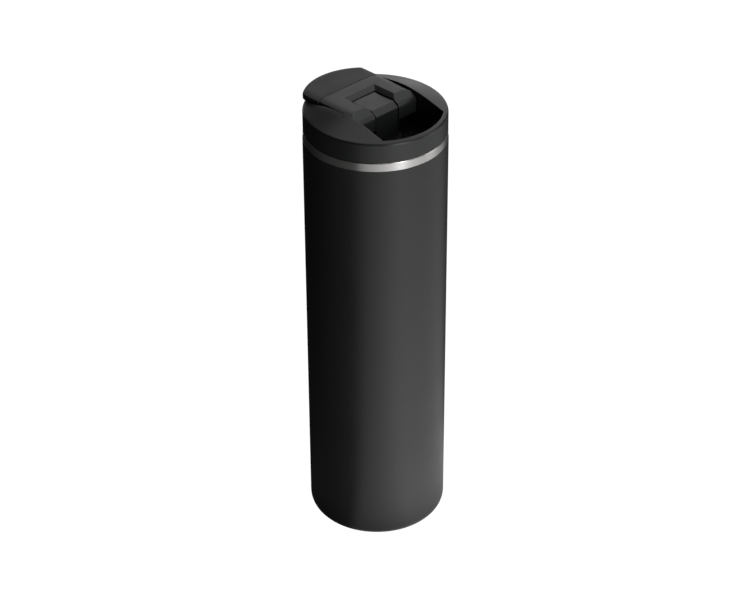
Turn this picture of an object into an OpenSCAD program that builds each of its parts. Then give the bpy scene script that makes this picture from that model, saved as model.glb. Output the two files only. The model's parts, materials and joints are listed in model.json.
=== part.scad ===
// Insulated travel mug: a double-walled steel cup with a screw lid
// and a sprung flip cover that a button releases. Origin at the centre of the
// foot, +Z up, +X along the cover's hinge, +Y towards the drinking edge.

/* [Cup] */
// Radius over the powder coat
cup_r = 36.5; // [34:0.5:40]
// Height of the steel rim above the foot
rim_z = 231.6; // [200:0.1:260]
// Top edge of the powder coat
coat_top_z = 227; // [190:0.5:229]
// Thickness of the powder coat
coat_t = 0.2; // [0.1:0.05:0.4]
// Fillet between the wall and the foot
foot_fillet = 5.9; // [4:0.1:7]
// Sheet thickness of the outer shell
shell_t = 0.5; // [0.4:0.1:0.8]
// Sheet thickness of the liner
liner_t = 0.4; // [0.4:0.1:0.8]
// Inner radius of the mouth and of the drink space
mouth_r = 32.7; // [32.5:0.1:32.9]
// Height of the underside of the liner
liner_z = 12; // [10:0.5:20]

/* [Closure] */
// Rise of the lid in one full turn
lead = 24; // [20:1:28]
// Number of thread lugs
lug_count = 3; // [3:1:3]
// Height of a thread lug along the axis
lug_h = 1.8; // [1.4:0.1:2]
// Length of a cup lug around the axis, in degrees
cup_lug_arc = 22; // [16:1:26]
// Length of a lid lug around the axis, in degrees
lid_lug_arc = 30; // [20:1:34]

/* [Lid] */
// Outer radius of the lid
lid_r = 36.25; // [36:0.05:36.4]
// Half width of the slot that the cover folds into
slot_half_w = 20.9; // [20.9:0.1:21.5]
// Height of the recess floor
floor_z = 228.6; // [228:0.1:229]
// Height of the deck around the drinking hole
deck_z = 241; // [240:0.1:241.2]
// Slope of the lid's conical top
cone_slope = 0.336; // [0.32:0.002:0.345]
// Tilt of the lid's top, higher at the drinking edge, in degrees
top_tilt = 1; // [0:0.25:1.25]

/* [Cover] */
// Height of the cover's flat top
cover_top_z = 247.7; // [247.4:0.1:248.4]
// Half width of the cover frame
cover_half_w = 20.3; // [20:0.1:20.4]
// Half width of the cover's flat top
top_half_w = 16.3; // [15:0.1:17]
// Line where the frame meets the front tab
parting_y = 19.3; // [18.5:0.1:20]
// Radius of the front tab's arc
tab_r = 30.5; // [29:0.5:33]
// How far the front tab reaches from the mug's axis
tab_reach = 38.9; // [38.5:0.1:39.2]

/* [Hinge and button] */
// Hinge axis position towards the drinking edge
hinge_y = -3; // [-3.2:0.1:-2.8]
// Hinge axis height
hinge_z = 240; // [239.8:0.1:240.2]
// Radius of the hinge pins
pin_r = 2; // [1.8:0.1:2.2]
// Half width of the release button
button_half_w = 7.7; // [7.2:0.1:7.8]
// Height of the button's top
button_top_z = 245.8; // [245:0.1:246]

/* [Hidden] */
$fn = 96;

// Clearances
joint_gap = 0.02;      // between pieces that are bonded or seated
run_gap = 0.05;        // radial gap of a bearing
slide_gap = 0.1;       // gap beside a part that slides
over = 1;              // how far a cutter runs past the face it opens

// Cup
shell_r = cup_r - coat_t;
liner_r = mouth_r + liner_t;
base_hole_r = 27.6;
base_disc_z = 1;
vacuum_base_z = 7.2;
rim_round = 0.5;
cup_lug_z = 226.6;
lug_tilt = atan(lead / (2 * PI * mouth_r));
lug_gap = 0.15;

// Lid
lid_skirt_z = rim_z + 0.2;
lid_edge_round = 1.5;
tilt_z = 241;
cone_ref_r = 35.8;      // the cone passes through this radius and height
cone_ref_z = 242.6;
lip_r = 33.7;
front_lip_z = 242.6;
ledge_z = 236.5;
seat_z = 235.02;
plug_r = 31;
plug_wall = 1.6;
plug_low_z = 219.5;
well_r = plug_r - plug_wall;
skirt_in_r = 34.3;
flange_low_z = 233.42;
wall_t = 1.6;
front_wall_y = 13.4;
chamber_r = 32;
spout_y = 24;
spout_half_w = 7;
spout_r = 3;
pin_in_x = 9.8;
pin_out_x = 26.5;
boss_r = 4.5;
boss_out_x = 27.5;
vent_x = -14;
vent_y = -16;
vent_hole_r = 1.6;
fill_slot_y = 21;

// Cover
chamfer_drop = 1.2;
plate_low_z = 243.5;
arm_low_z = 235;
arm_rear_y = -8.4;
arm_front_y = 4.5;
arm_in_x = 8.25;
tongue_half_w = 17;
tongue_front_y = 27;
tongue_low_z = 243.9;
tongue_top_z = 245.4;
tab_half_w = 20.6;
tab_low_z = 243.7;
tab_corner_r = 4;
sweep_r = 13.15;       // radius the button's front edge needs the frame to clear
spring_bay_r = 4.3;
spring_bay_x = 16;
arm_gap = 0.3;         // beside the pins' inner ends
hook_half_w = 4;
carrier_low_z = 242.5;
carrier_y = spout_y - 1;
carrier_screw_x = 11.5;
carrier_screw_r = 0.98;
peg_half_w = 4;
peg_r = 1.6;

// Button
button_rear_y = -8.3;
button_front_y = 8.4;
button_flange = 1.1;
button_flange_z = 225.5;
well_low_z = 219.8;
well_t = 1.3;
well_seal_t = 0.5;
well_gap = 0.3;
well_half_w = button_half_w + button_flange + well_gap;
well_rear_y = button_rear_y - button_flange - well_gap;
well_front_y = button_front_y + button_flange + well_gap;
spring_seat_z = 236;
spring_bore_r = 5.2;
ramp_in_x = 5.8;

// Latch
clip_y = 12.6;
clip_t = 0.5;
clip_half_w = 7.6;
clip_screw_z = 231.2;
clip_screw_x = 3.6;
clip_screw_r = 0.98;
screw_head_r = 1.8;
screw_head_h = 0.9;

// ---------------------------------------------------------------- helpers

// Half section of a can, with its lower and if asked its upper corner rounded
module can_2d(r, low_z, high_z, low_fillet, high_fillet = 0) {
    translate([0, low_z + low_fillet])
        square([r, high_z - low_z - low_fillet - high_fillet]);
    translate([0, low_z])
        square([r - low_fillet, high_z - low_z]);
    translate([r - low_fillet, low_z + low_fillet])
        circle(low_fillet);
    if (high_fillet > 0) {
        translate([0, low_z + low_fillet])
            square([r - high_fillet, high_z - low_z - low_fillet]);
        translate([r - high_fillet, high_z - high_fillet])
            circle(high_fillet);
    }
}

// Ring between two radii and two heights
module ring(r_in, r_out, low_z, high_z) {
    translate([0, 0, low_z])
        difference() {
            cylinder(r = r_out, h = high_z - low_z);
            translate([0, 0, -over])
                cylinder(r = r_in, h = high_z - low_z + 2 * over);
        }
}

// Box given by its low and high corners
module span(low, high) {
    translate(low)
        cube(high - low);
}

// Extrusion along X of a section drawn in (y, z)
module along_x(low_x, high_x) {
    translate([low_x, 0, 0])
        rotate([90, 0, 90])
            linear_extrude(high_x - low_x)
                children();
}

// Cylinder along X on the hinge axis
module hinge_rod(r, low_x, high_x) {
    translate([low_x, hinge_y, hinge_z])
        rotate([0, 90, 0])
            cylinder(r = r, h = high_x - low_x);
}

// Slot with round ends, long in X
module stadium(half_w, r, low_z, high_z) {
    translate([0, 0, low_z])
        linear_extrude(high_z - low_z) {
            square([2 * (half_w - r), 2 * r], center = true);
            for (side = [-1, 1])
                translate([side * (half_w - r), 0])
                    circle(r);
        }
}

// One length of coarse thread: a short rib tilted to the thread's rise
module lug(r_in, r_out, arc) {
    rotate([lug_tilt, 0, 0])
        rotate([0, 0, -arc / 2])
            rotate_extrude(angle = arc)
                translate([r_in, -lug_h / 2])
                    square([r_out - r_in, lug_h]);
}

// The lugs, spaced evenly round the axis, with their middles at one height
module lugs(r_in, r_out, arc, z) {
    for (turn = [0 : lug_count - 1])
        translate([0, 0, z])
            rotate([0, 0, 90 + turn * 360 / lug_count])
                lug(r_in, r_out, arc);
}

// Round wire through a list of points; each ring faces along the path
function unit(v) = v / norm(v);
function heading(path, i) =
    unit(path[min(i + 1, len(path) - 1)] - path[max(i - 1, 0)]);
function wire_ring(centre, ahead, up, wire_r, sides) =
    let (side = unit(cross(ahead, up)), top = cross(side, ahead))
    [for (k = [0 : sides - 1])
        centre + wire_r * (cos(k * 360 / sides) * side + sin(k * 360 / sides) * top)];
module wire(path, wire_r, up, sides = 8) {
    last = len(path) - 1;
    points = [for (i = [0 : last]) each wire_ring(path[i], heading(path, i), up, wire_r, sides)];
    skin = [for (i = [0 : last - 1], k = [0 : sides - 1])
        [i * sides + k, i * sides + (k + 1) % sides,
         (i + 1) * sides + (k + 1) % sides, (i + 1) * sides + k]];
    ends = [[for (k = [sides - 1 : -1 : 0]) k],
            [for (k = [0 : sides - 1]) last * sides + k]];
    polyhedron(points, concat(skin, ends), convexity = 6);
}

// Points along a coil about Z
function coil(r, turns, length, first = 0, steps = 20) =
    [for (i = [0 : turns * steps])
        [r * cos(first + i * 360 / steps), r * sin(first + i * 360 / steps),
         length * i / (turns * steps)]];

// ---------------------------------------------------------------- cup

module outer_shell() {
    color("silver")
        difference() {
            rotate_extrude()
                can_2d(shell_r, coat_t, rim_z, foot_fillet - coat_t, rim_round);
            rotate_extrude()
                can_2d(shell_r - shell_t, coat_t + shell_t, rim_z - shell_t,
                       foot_fillet - coat_t - shell_t);
            translate([0, 0, -over])
                cylinder(r = base_hole_r, h = 2 * over + shell_t);
            translate([0, 0, rim_z - shell_t - over])
                cylinder(r = liner_r + joint_gap, h = shell_t + 2 * over);
        }
}

module powder_coat() {
    color("#1f2022")
        difference() {
            rotate_extrude()
                can_2d(cup_r, 0, coat_top_z, foot_fillet);
            rotate_extrude()
                can_2d(shell_r + joint_gap / 2, coat_t - joint_gap / 2, coat_top_z + over,
                       foot_fillet - coat_t);
            translate([0, 0, -over])
                cylinder(r = base_hole_r, h = 2 * over);
        }
}

// Bottom disc with a stamped step and a shallow ring groove
module base_disc() {
    step_r = 21;
    step_h = 1.2;
    color("silver")
        difference() {
            union() {
                translate([0, 0, base_disc_z])
                    cylinder(r = base_hole_r - joint_gap, h = shell_t);
                translate([0, 0, base_disc_z])
                    cylinder(r = step_r + shell_t, h = shell_t + step_h);
            }
            translate([0, 0, base_disc_z - over])
                cylinder(r1 = step_r + over, r2 = step_r - 1, h = step_h + over);
        }
}

// Welded floor of the vacuum space, with its evacuation port
module vacuum_base() {
    port_r = 1.2;
    dimple_r = 4;
    dimple_h = 1.4;
    color("silver")
        difference() {
            union() {
                ring(shell_r - shell_t - 1.2, shell_r - shell_t - joint_gap, vacuum_base_z - 2.4,
                     vacuum_base_z + shell_t);
                translate([0, 0, vacuum_base_z])
                    cylinder(r = shell_r - shell_t - 1, h = shell_t);
                translate([0, 0, vacuum_base_z])
                    cylinder(r = dimple_r + shell_t, h = shell_t + dimple_h);
            }
            translate([0, 0, vacuum_base_z - over])
                cylinder(r = dimple_r, h = dimple_h + over);
            cylinder(r = port_r, h = 2 * vacuum_base_z);
            rotate_extrude()
                difference() {
                    square([cup_r, vacuum_base_z]);
                    can_2d(shell_r - shell_t - joint_gap, coat_t + shell_t, 2 * vacuum_base_z,
                           foot_fillet - coat_t - shell_t);
                }
        }
}

module seal_pellet() {
    color("#6b5a3c")
        translate([0, 0, vacuum_base_z + 0.1])
            cylinder(r = 3, h = 1.28);
}

module getter_pad() {
    color("gray")
        translate([12, 0, liner_z - 1.2])
            cylinder(r = 5, h = 1.2 - joint_gap);
}

module inner_liner() {
    color("gainsboro") {
        difference() {
            rotate_extrude()
                can_2d(liner_r, liner_z, rim_z, 7);
            rotate_extrude()
                can_2d(mouth_r, liner_z + liner_t, rim_z + over, 7 - liner_t);
        }
        lugs(mouth_r - 1.45, mouth_r + liner_t / 2, cup_lug_arc, cup_lug_z);
    }
}

// Reflective foil round the liner, inside the vacuum
module liner_foil() {
    foil_t = 0.1;
    color("#b87333")
        ring(liner_r + joint_gap, liner_r + joint_gap + foil_t, liner_z + 12, rim_z - 24);
}

// ---------------------------------------------------------------- lid

// Silicone ring that seals on the rim and wipes the mouth
module lid_gasket() {
    color("dimgray")
        rotate_extrude() {
            translate([plug_r + slide_gap, rim_z + joint_gap])
                square([skirt_in_r - plug_r - 2 * slide_gap, flange_low_z - rim_z - 2 * joint_gap]);
            translate([plug_r + slide_gap, rim_z - 1.7])
                square([mouth_r - plug_r - 2 * slide_gap, 2]);
            translate([mouth_r - slide_gap - 0.6, rim_z - 1.1])
                circle(0.6);
        }
}

// Height of the lid's cone at a radius, before its tilt
function cone_z(r) = cone_ref_z + (cone_ref_r - r) * cone_slope;

// Half section of the lid's tilted top: rounded edge and cone
module lid_top_2d() {
    cone_angle = atan(cone_slope);
    centre_r = lid_r + 0.1 - lid_edge_round;
    tangent_r = centre_r + lid_edge_round * sin(cone_angle);
    centre_z = cone_z(tangent_r) - lid_edge_round * cos(cone_angle);
    polygon([
        [0, lid_skirt_z - 2 * over],
        [lid_r + 0.1, lid_skirt_z - 2 * over],
        [lid_r + 0.1, centre_z],
        [centre_r, centre_z],
        [tangent_r, cone_z(tangent_r)],
        [0, cone_z(0)]
    ]);
    translate([centre_r, centre_z])
        circle(lid_edge_round);
}

// Leans its children back about the hinge direction, so the front rises
module tilted() {
    translate([0, 0, tilt_z])
        rotate([top_tilt, 0, 0])
            translate([0, 0, -tilt_z])
                children();
}

// Outside of the lid before the slot is cut
module lid_blank() {
    intersection() {
        translate([0, 0, lid_skirt_z])
            cylinder(r = lid_r, h = cone_z(0) - lid_skirt_z);
        tilted()
            rotate_extrude()
                lid_top_2d();
    }
}

// Slot between the two cheeks, as far as a given radius
module slot(low_y, high_y, r, low_z, high_z) {
    intersection() {
        span([-slot_half_w, low_y, low_z], [slot_half_w, high_y, high_z]);
        translate([0, 0, low_z])
            cylinder(r = r, h = high_z - low_z);
    }
}

// Hollow inside one cheek, open below
module cheek_pocket(side) {
    roof_t = 2;
    intersection() {
        tilted()
            rotate_extrude()
                polygon([
                    [0, lid_skirt_z],
                    [skirt_in_r - 0.3, lid_skirt_z],
                    [skirt_in_r - 0.3, cone_z(skirt_in_r) - roof_t],
                    [0, cone_z(0) - roof_t]
                ]);
        span([side > 0 ? slot_half_w + 2 : -cup_r, -cup_r, seat_z - over],
             [side > 0 ? cup_r : -slot_half_w - 2, cup_r, cone_z(0)]);
    }
}

module lid_shell() {
    top = cone_z(0) + over;
    color("#26282b")
        difference() {
            union() {
                difference() {
                    lid_blank();
                    translate([0, 0, lid_skirt_z - over])
                        cylinder(r = skirt_in_r, h = seat_z - lid_skirt_z + over);
                    slot(-cup_r, front_wall_y, lip_r, ledge_z, top);
                    slot(-cup_r, front_wall_y, well_r - slide_gap, seat_z - over, ledge_z + over);
                    slot(front_wall_y - over, cup_r, lip_r, deck_z, top);
                    slot(front_wall_y - over, cup_r, cup_r + over, front_lip_z, top);
                    slot(front_wall_y + wall_t, cup_r, chamber_r, seat_z - over, deck_z - 1.8);
                    cheek_pocket(-1);
                    cheek_pocket(1);
                }
                lid_inner_walls();
                for (side = [-1, 1])
                    hinge_rod(boss_r, side > 0 ? slot_half_w + 1 : -boss_out_x,
                              side > 0 ? boss_out_x : -slot_half_w - 1);
            }
            for (side = [-1, 1])
                hinge_rod(pin_r + joint_gap, side > 0 ? slot_half_w - over : -pin_out_x,
                          side > 0 ? pin_out_x : -slot_half_w + over);
            translate([0, spout_y, 0])
                stadium(spout_half_w, spout_r, deck_z - 3, deck_z + over);
            screw_holes(clip_screw_r + joint_gap);
        }
}

// Walls of the recess that reach down inside the plug
module lid_inner_walls() {
    low_z = floor_z + joint_gap;
    intersection() {
        union() {
            for (side = [-1, 1])
                span([side > 0 ? slot_half_w : -slot_half_w - wall_t, -well_r, low_z],
                     [side > 0 ? slot_half_w + wall_t : -slot_half_w, well_r, ledge_z]);
            span([-slot_half_w - over, front_wall_y, low_z],
                 [slot_half_w + over, front_wall_y + wall_t, deck_z]);
        }
        union() {
            translate([0, 0, low_z])
                cylinder(r = well_r - slide_gap, h = seat_z - low_z + over);
            translate([0, 0, seat_z])
                cylinder(r = lip_r, h = deck_z - seat_z);
        }
    }
}

module lid_plug() {
    color("#2b2d30")
        difference() {
            union() {
                ring(well_r, plug_r, plug_low_z, seat_z - joint_gap);
                ring(well_r, skirt_in_r - slide_gap, flange_low_z, seat_z - joint_gap);
                translate([0, 0, floor_z - plug_wall])
                    cylinder(r = well_r + 0.5, h = plug_wall);
                lugs(plug_r - 0.6, mouth_r - 0.3, lid_lug_arc, cup_lug_z - lug_h - lug_gap);
            }
            span([-button_half_w - slide_gap, button_rear_y - slide_gap, floor_z - 2 * plug_wall],
                 [button_half_w + slide_gap, button_front_y + slide_gap, floor_z + over]);
            translate([0, fill_slot_y, 0])
                stadium(9, 3.5, floor_z - 2 * plug_wall, floor_z + over);
            translate([vent_x, vent_y, floor_z - 2 * plug_wall])
                cylinder(r = vent_hole_r, h = 3 * plug_wall);
        }
}

// One-way air valve in the recess floor
module vent_valve() {
    low_z = floor_z - plug_wall;
    color("gainsboro")
        translate([vent_x, vent_y, 0])
            difference() {
                union() {
                    translate([0, 0, floor_z + joint_gap])
                        cylinder(r = 3, h = 0.7);
                    translate([0, 0, low_z - 1])
                        cylinder(r = vent_hole_r - run_gap, h = plug_wall + 1.2);
                    translate([0, 0, low_z - 3])
                        cylinder(r1 = 1, r2 = 2.2, h = 3 - joint_gap);
                }
                translate([0, 0, low_z - 2.4])
                    cylinder(r = 0.6, h = plug_wall + 4);
            }
}

// ---------------------------------------------------------------- button

// Cup under the recess floor that holds the button and its spring
module button_well() {
    top_z = floor_z - plug_wall - well_seal_t;
    post_r = 2.6;
    post_h = 2.5;
    color("#2b2d30") {
        difference() {
            span([-well_half_w - well_t, well_rear_y - well_t, well_low_z],
                 [well_half_w + well_t, well_front_y + well_t, top_z]);
            span([-well_half_w, well_rear_y, well_low_z + well_t],
                 [well_half_w, well_front_y, top_z + over]);
        }
        translate([0, 0, well_low_z])
            cylinder(r = post_r, h = well_t + post_h);
    }
}

// Silicone frame between the well and the floor
module well_seal() {
    low_z = floor_z - plug_wall - well_seal_t + joint_gap;
    high_z = floor_z - plug_wall - joint_gap;
    color("gainsboro")
        difference() {
            span([-well_half_w - well_t, well_rear_y - well_t, low_z],
                 [well_half_w + well_t, well_front_y + well_t, high_z]);
            span([-well_half_w, well_rear_y, low_z - over],
                 [well_half_w, well_front_y, high_z + over]);
        }
}

module button_spring() {
    wire_r = 0.42;
    coil_r = 4;
    end_gap = 0.5;
    low_z = well_low_z + well_t + end_gap;
    color("silver")
        translate([0, 0, low_z])
            wire(coil(coil_r, 6, spring_seat_z - low_z - end_gap), wire_r, [0, 0, 1]);
}

// Thumb button: dished top, hollow for its spring, ramps that push the clip
module release_button() {
    dish_r = 60;
    dish = 0.35;
    dish_y = 2;
    ramp_y = 12;
    ramp_z = 234;
    color("#2a2c2f")
        difference() {
            union() {
                along_x(-button_half_w, button_half_w)
                    polygon([
                        [button_rear_y, button_flange_z],
                        [button_rear_y, button_top_z - 2.4],
                        [-7.5, button_top_z - 1.8],
                        [-5, button_top_z],
                        [button_front_y, button_top_z],
                        [button_front_y, button_flange_z]
                    ]);
                span([-button_half_w - button_flange, button_rear_y - button_flange,
                      button_flange_z],
                     [button_half_w + button_flange, button_front_y + button_flange,
                      floor_z - plug_wall - slide_gap]);
                for (side = [-1, 1])
                    along_x(side > 0 ? ramp_in_x : -button_half_w,
                            side > 0 ? button_half_w : -ramp_in_x)
                        polygon([
                            [button_front_y - over, ramp_z + 4],
                            [button_front_y, ramp_z + 4],
                            [ramp_y, ramp_z + 0.4],
                            [ramp_y, ramp_z - 0.4],
                            [button_front_y, ramp_z - 2],
                            [button_front_y - over, ramp_z - 2]
                        ]);
            }
            translate([0, dish_y, button_top_z + dish_r - dish])
                rotate([0, 90, 0])
                    cylinder(r = dish_r, h = 4 * button_half_w, center = true, $fn = 192);
            translate([0, 0, button_flange_z - over])
                cylinder(r = spring_bore_r, h = spring_seat_z - button_flange_z + over);
        }
}

// ---------------------------------------------------------------- latch

// Sprung steel clip: its nose holds the cover's hook down
module latch_clip() {
    nose_z = 238.7;
    nose_y = 11;
    tip_z = 239.8;
    bend_z = 232.8;
    plate_y = front_wall_y - joint_gap;
    color("lightsteelblue")
        difference() {
            union() {
                span([-clip_half_w, plate_y - clip_t, floor_z + 0.4],
                     [clip_half_w, plate_y, bend_z + 0.4]);
                along_x(-clip_half_w, clip_half_w)
                    polygon([
                        [plate_y, bend_z],
                        [plate_y, bend_z + 0.6],
                        [clip_y + clip_t, bend_z + 2.2],
                        [clip_y + clip_t, tip_z],
                        [clip_y, tip_z],
                        [clip_y, bend_z + 1.8],
                        [plate_y - clip_t, bend_z]
                    ]);
                along_x(-hook_half_w, hook_half_w)
                    polygon([
                        [clip_y + clip_t / 2, nose_z],
                        [nose_y, nose_z],
                        [nose_y, nose_z + 0.3],
                        [clip_y + clip_t / 2, nose_z + 1]
                    ]);
            }
            screw_holes(clip_screw_r + slide_gap);
        }
}

// Holes for the two screws that hold the clip to the front wall
module screw_holes(r) {
    for (side = [-1, 1])
        translate([side * clip_screw_x, front_wall_y - 2, clip_screw_z])
            rotate([-90, 0, 0])
                cylinder(r = r, h = 2 * wall_t);
}

// Small pan-head screw along +Z, with a cross slot; its head is below z = 0
module small_screw(length, r) {
    cross_half_w = 0.2;
    cross_half_len = 0.7 * screw_head_r;
    difference() {
        union() {
            cylinder(r = r, h = length);
            translate([0, 0, -screw_head_h])
                cylinder(r = screw_head_r, h = screw_head_h);
        }
        for (turn = [0, 90])
            rotate([0, 0, turn])
                span([-cross_half_len, -cross_half_w, -screw_head_h - over],
                     [cross_half_len, cross_half_w, -screw_head_h / 2]);
    }
}

module clip_screws() {
    color("silver")
        for (side = [-1, 1])
            translate([side * clip_screw_x, front_wall_y - clip_t - 2 * joint_gap, clip_screw_z])
                rotate([-90, 0, 0])
                    small_screw(clip_t + 1, clip_screw_r);
}

// ---------------------------------------------------------------- hinge

module hinge_pins() {
    color("silver")
        for (side = [-1, 1])
            hinge_rod(pin_r, side > 0 ? pin_in_x : -pin_out_x + joint_gap,
                      side > 0 ? pin_out_x - joint_gap : -pin_in_x);
}

// Torsion spring round each pin, one leg in the arm and one on the floor
module cover_springs() {
    wire_r = 0.35;
    coil_r = 3.2;
    coil_len = 3.6;
    leg_y = -2.7;
    leg_z = -9.6;
    color("silver")
        for (side = [-1, 1])
            mirror([side > 0 ? 0 : 1, 0, 0])
                translate([pin_in_x + 0.8, hinge_y, hinge_z])
                    rotate([90, 0, 90])
                        wire(concat(
                                [[leg_y, leg_z, 0]],
                                [[-coil_r - 0.1, -1.5, 0]],
                                coil(coil_r, 4, coil_len, 180),
                                [[-coil_r, 2.2, coil_len]]),
                             wire_r, [0, 0, 1]);
}

// ---------------------------------------------------------------- cover

// Cross-section of the cover across its width, with the two long chamfers
module cover_width_2d(half_w, low_z) {
    polygon([
        [-half_w, low_z],
        [half_w, low_z],
        [half_w, cover_top_z - chamfer_drop],
        [top_half_w, cover_top_z],
        [-top_half_w, cover_top_z],
        [-half_w, cover_top_z - chamfer_drop]
    ]);
}

// Side view of the frame: flat plate, rounded knee and the arms at the rear
module frame_side_2d() {
    knee_r = 4;
    knee_y = arm_rear_y + knee_r;
    knee_z = 241.75;
    knee_top_y = -2.3;
    knee_top_angle = 121;
    heel_r = 2;
    polygon(concat(
        [[parting_y, plate_low_z], [parting_y, cover_top_z], [knee_top_y, cover_top_z]],
        [for (a = [knee_top_angle : 5.9 : 180])
            [knee_y + knee_r * cos(a), knee_z + knee_r * sin(a)]],
        [for (a = [180 : 15 : 270])
            [arm_rear_y + heel_r + heel_r * cos(a), arm_low_z + heel_r + heel_r * sin(a)]],
        [for (a = [270 : 15 : 360])
            [arm_front_y - heel_r + heel_r * cos(a), arm_low_z + heel_r + heel_r * sin(a)]],
        [[arm_front_y, plate_low_z - 1], [arm_front_y + 1, plate_low_z]]
    ));
}

// Opening round the button: bevelled at the top, open to the rear
module frame_window() {
    bevel_z = 246;
    back_y = 8.8;
    side_bevel = 2.4;
    back_bevel = 3;
    rise = cover_top_z - bevel_z;
    steep = (rise + over) / rise;
    span([-arm_in_x, -cup_r, arm_low_z - over], [arm_in_x, back_y, cover_top_z + over]);
    for (side = [-1, 1])
        translate([0, 0, bevel_z])
            rotate([90, 0, 0])
                translate([0, 0, -back_y])
                    linear_extrude(cup_r)
                        polygon([
                            [0, 0],
                            [side * arm_in_x, 0],
                            [side * (arm_in_x + side_bevel * steep), rise + over],
                            [0, rise + over]
                        ]);
    intersection() {
        along_x(-arm_in_x - side_bevel * steep, arm_in_x + side_bevel * steep)
            polygon([
                [back_y - over, bevel_z],
                [back_y, bevel_z],
                [back_y + back_bevel * steep, cover_top_z + over],
                [back_y - over, cover_top_z + over]
            ]);
        translate([0, back_y + back_bevel * steep, 0])
            rotate([90, 0, 0])
                linear_extrude(back_bevel * steep + over)
                    polygon([
                        [-arm_in_x, bevel_z - over],
                        [arm_in_x, bevel_z - over],
                        [arm_in_x, bevel_z],
                        [arm_in_x + side_bevel * steep, cover_top_z + over],
                        [-arm_in_x - side_bevel * steep, cover_top_z + over],
                        [-arm_in_x, bevel_z]
                    ]);
    }
    hinge_rod(sweep_r, -arm_in_x, arm_in_x);
}

// Hook under the plate that the clip's nose holds
module cover_hook() {
    shank_y = 10.2;
    shank_t = 0.8;
    tip_y = 12.2;
    catch_z = 238.5;
    root_z = plate_low_z + 0.5;
    along_x(-hook_half_w, hook_half_w)
        polygon([
            [shank_y, root_z],
            [shank_y, catch_z - 1.5],
            [shank_y + 1, catch_z - 2.1],
            [tip_y, catch_z - 1.1],
            [tip_y, catch_z],
            [shank_y + shank_t, catch_z],
            [shank_y + shank_t, root_z]
        ]);
}

module cover_frame() {
    color("#34373b")
        difference() {
            union() {
                intersection() {
                    along_x(-cover_half_w, cover_half_w)
                        frame_side_2d();
                    translate([0, parting_y, 0])
                        rotate([90, 0, 0])
                            linear_extrude(2 * parting_y)
                                cover_width_2d(cover_half_w, arm_low_z - over);
                }
                span([-tongue_half_w, parting_y - 2, tongue_low_z],
                     [tongue_half_w, tongue_front_y, tongue_top_z]);
            }
            frame_window();
            for (side = [-1, 1]) {
                hinge_rod(pin_r + run_gap, side > 0 ? pin_in_x - arm_gap : -cover_half_w - over,
                          side > 0 ? cover_half_w + over : -pin_in_x + arm_gap);
                hinge_rod(spring_bay_r, side > 0 ? pin_in_x - arm_gap : -spring_bay_x,
                          side > 0 ? spring_bay_x : -pin_in_x + arm_gap);
                span([side > 0 ? pin_in_x - arm_gap : -pin_in_x - 2, hinge_y - spring_bay_r,
                      arm_low_z - over],
                     [side > 0 ? pin_in_x + 2 : -pin_in_x + arm_gap, hinge_y - 1, hinge_z]);
            }
            carrier_holes(carrier_screw_r);
        }
    color("#34373b")
        cover_hook();
}

// Corner left outside the tab's rounding
module tab_corner_2d() {
    arc_y = tab_reach - tab_r;
    centre_x = tab_half_w - tab_corner_r;
    rise = sqrt(pow(tab_r - tab_corner_r, 2) - pow(centre_x, 2));
    past = (tab_r + 2 * over) / (tab_r - tab_corner_r);
    difference() {
        polygon([
            [centre_x, arc_y + rise],
            [tab_half_w + over, arc_y + rise],
            [tab_half_w + over, tab_reach],
            [centre_x * past, arc_y + rise * past]
        ]);
        translate([centre_x, arc_y + rise])
            circle(tab_corner_r);
    }
}

module tab_outline_2d() {
    difference() {
        intersection() {
            translate([0, tab_reach - tab_r])
                circle(tab_r, $fn = 192);
            translate([-tab_half_w, parting_y + slide_gap])
                square([2 * tab_half_w, tab_reach]);
        }
        tab_corner_2d();
        mirror([1, 0])
            tab_corner_2d();
    }
}

// D-shaped thumb tab that covers the drinking edge
module cover_tab() {
    edge_z = cover_top_z - chamfer_drop;
    chamfer_w = cover_half_w - top_half_w;
    color("#303337")
        difference() {
            intersection() {
                translate([0, 0, tab_low_z])
                    linear_extrude(cover_top_z - tab_low_z)
                        tab_outline_2d();
                translate([0, cup_r + tab_r, 0])
                    rotate([90, 0, 0])
                        linear_extrude(cup_r + tab_r)
                            cover_width_2d(tab_half_w, tab_low_z - over);
                translate([0, tab_reach - tab_r, 0]) {
                    translate([0, 0, edge_z])
                        cylinder(r1 = tab_r, r2 = tab_r - chamfer_w, h = chamfer_drop, $fn = 192);
                    translate([0, 0, tab_low_z - over])
                        cylinder(r = tab_r, h = edge_z - tab_low_z + over, $fn = 192);
                }
            }
            span([-tongue_half_w - slide_gap, 0, tab_low_z - over],
                 [tongue_half_w + slide_gap, tongue_front_y + slide_gap, tongue_top_z + slide_gap]);
        }
}

// Plate under the tongue that carries the silicone seal
module seal_carrier() {
    half_w = 14;
    half_depth = 3.6;
    color("#2b2d30")
        difference() {
            union() {
                translate([0, carrier_y, 0])
                    stadium(half_w, half_depth, carrier_low_z, tongue_low_z - joint_gap);
                translate([0, spout_y, 0])
                    stadium(peg_half_w, peg_r, carrier_low_z - 1, carrier_low_z + over);
            }
            carrier_holes(carrier_screw_r + 0.3);
        }
}

// Silicone pad that closes the drinking hole
module spout_seal() {
    pad_low_z = deck_z + 0.05;
    color("gainsboro")
        translate([0, spout_y, 0])
            difference() {
                union() {
                    stadium(spout_half_w + 1.4, spout_r + 1.2, pad_low_z, carrier_low_z - joint_gap);
                    stadium(spout_half_w - 0.5, spout_r - 0.5, deck_z - 1.2, pad_low_z + over);
                }
                stadium(peg_half_w + joint_gap, peg_r + joint_gap, carrier_low_z - 1 - joint_gap,
                        carrier_low_z + over);
            }
}

// Holes for the two screws that hold the carrier to the tongue
module carrier_holes(r) {
    for (side = [-1, 1])
        translate([side * carrier_screw_x, carrier_y, carrier_low_z - over])
            cylinder(r = r, h = tongue_top_z - carrier_low_z + 2 * over);
}

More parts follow.
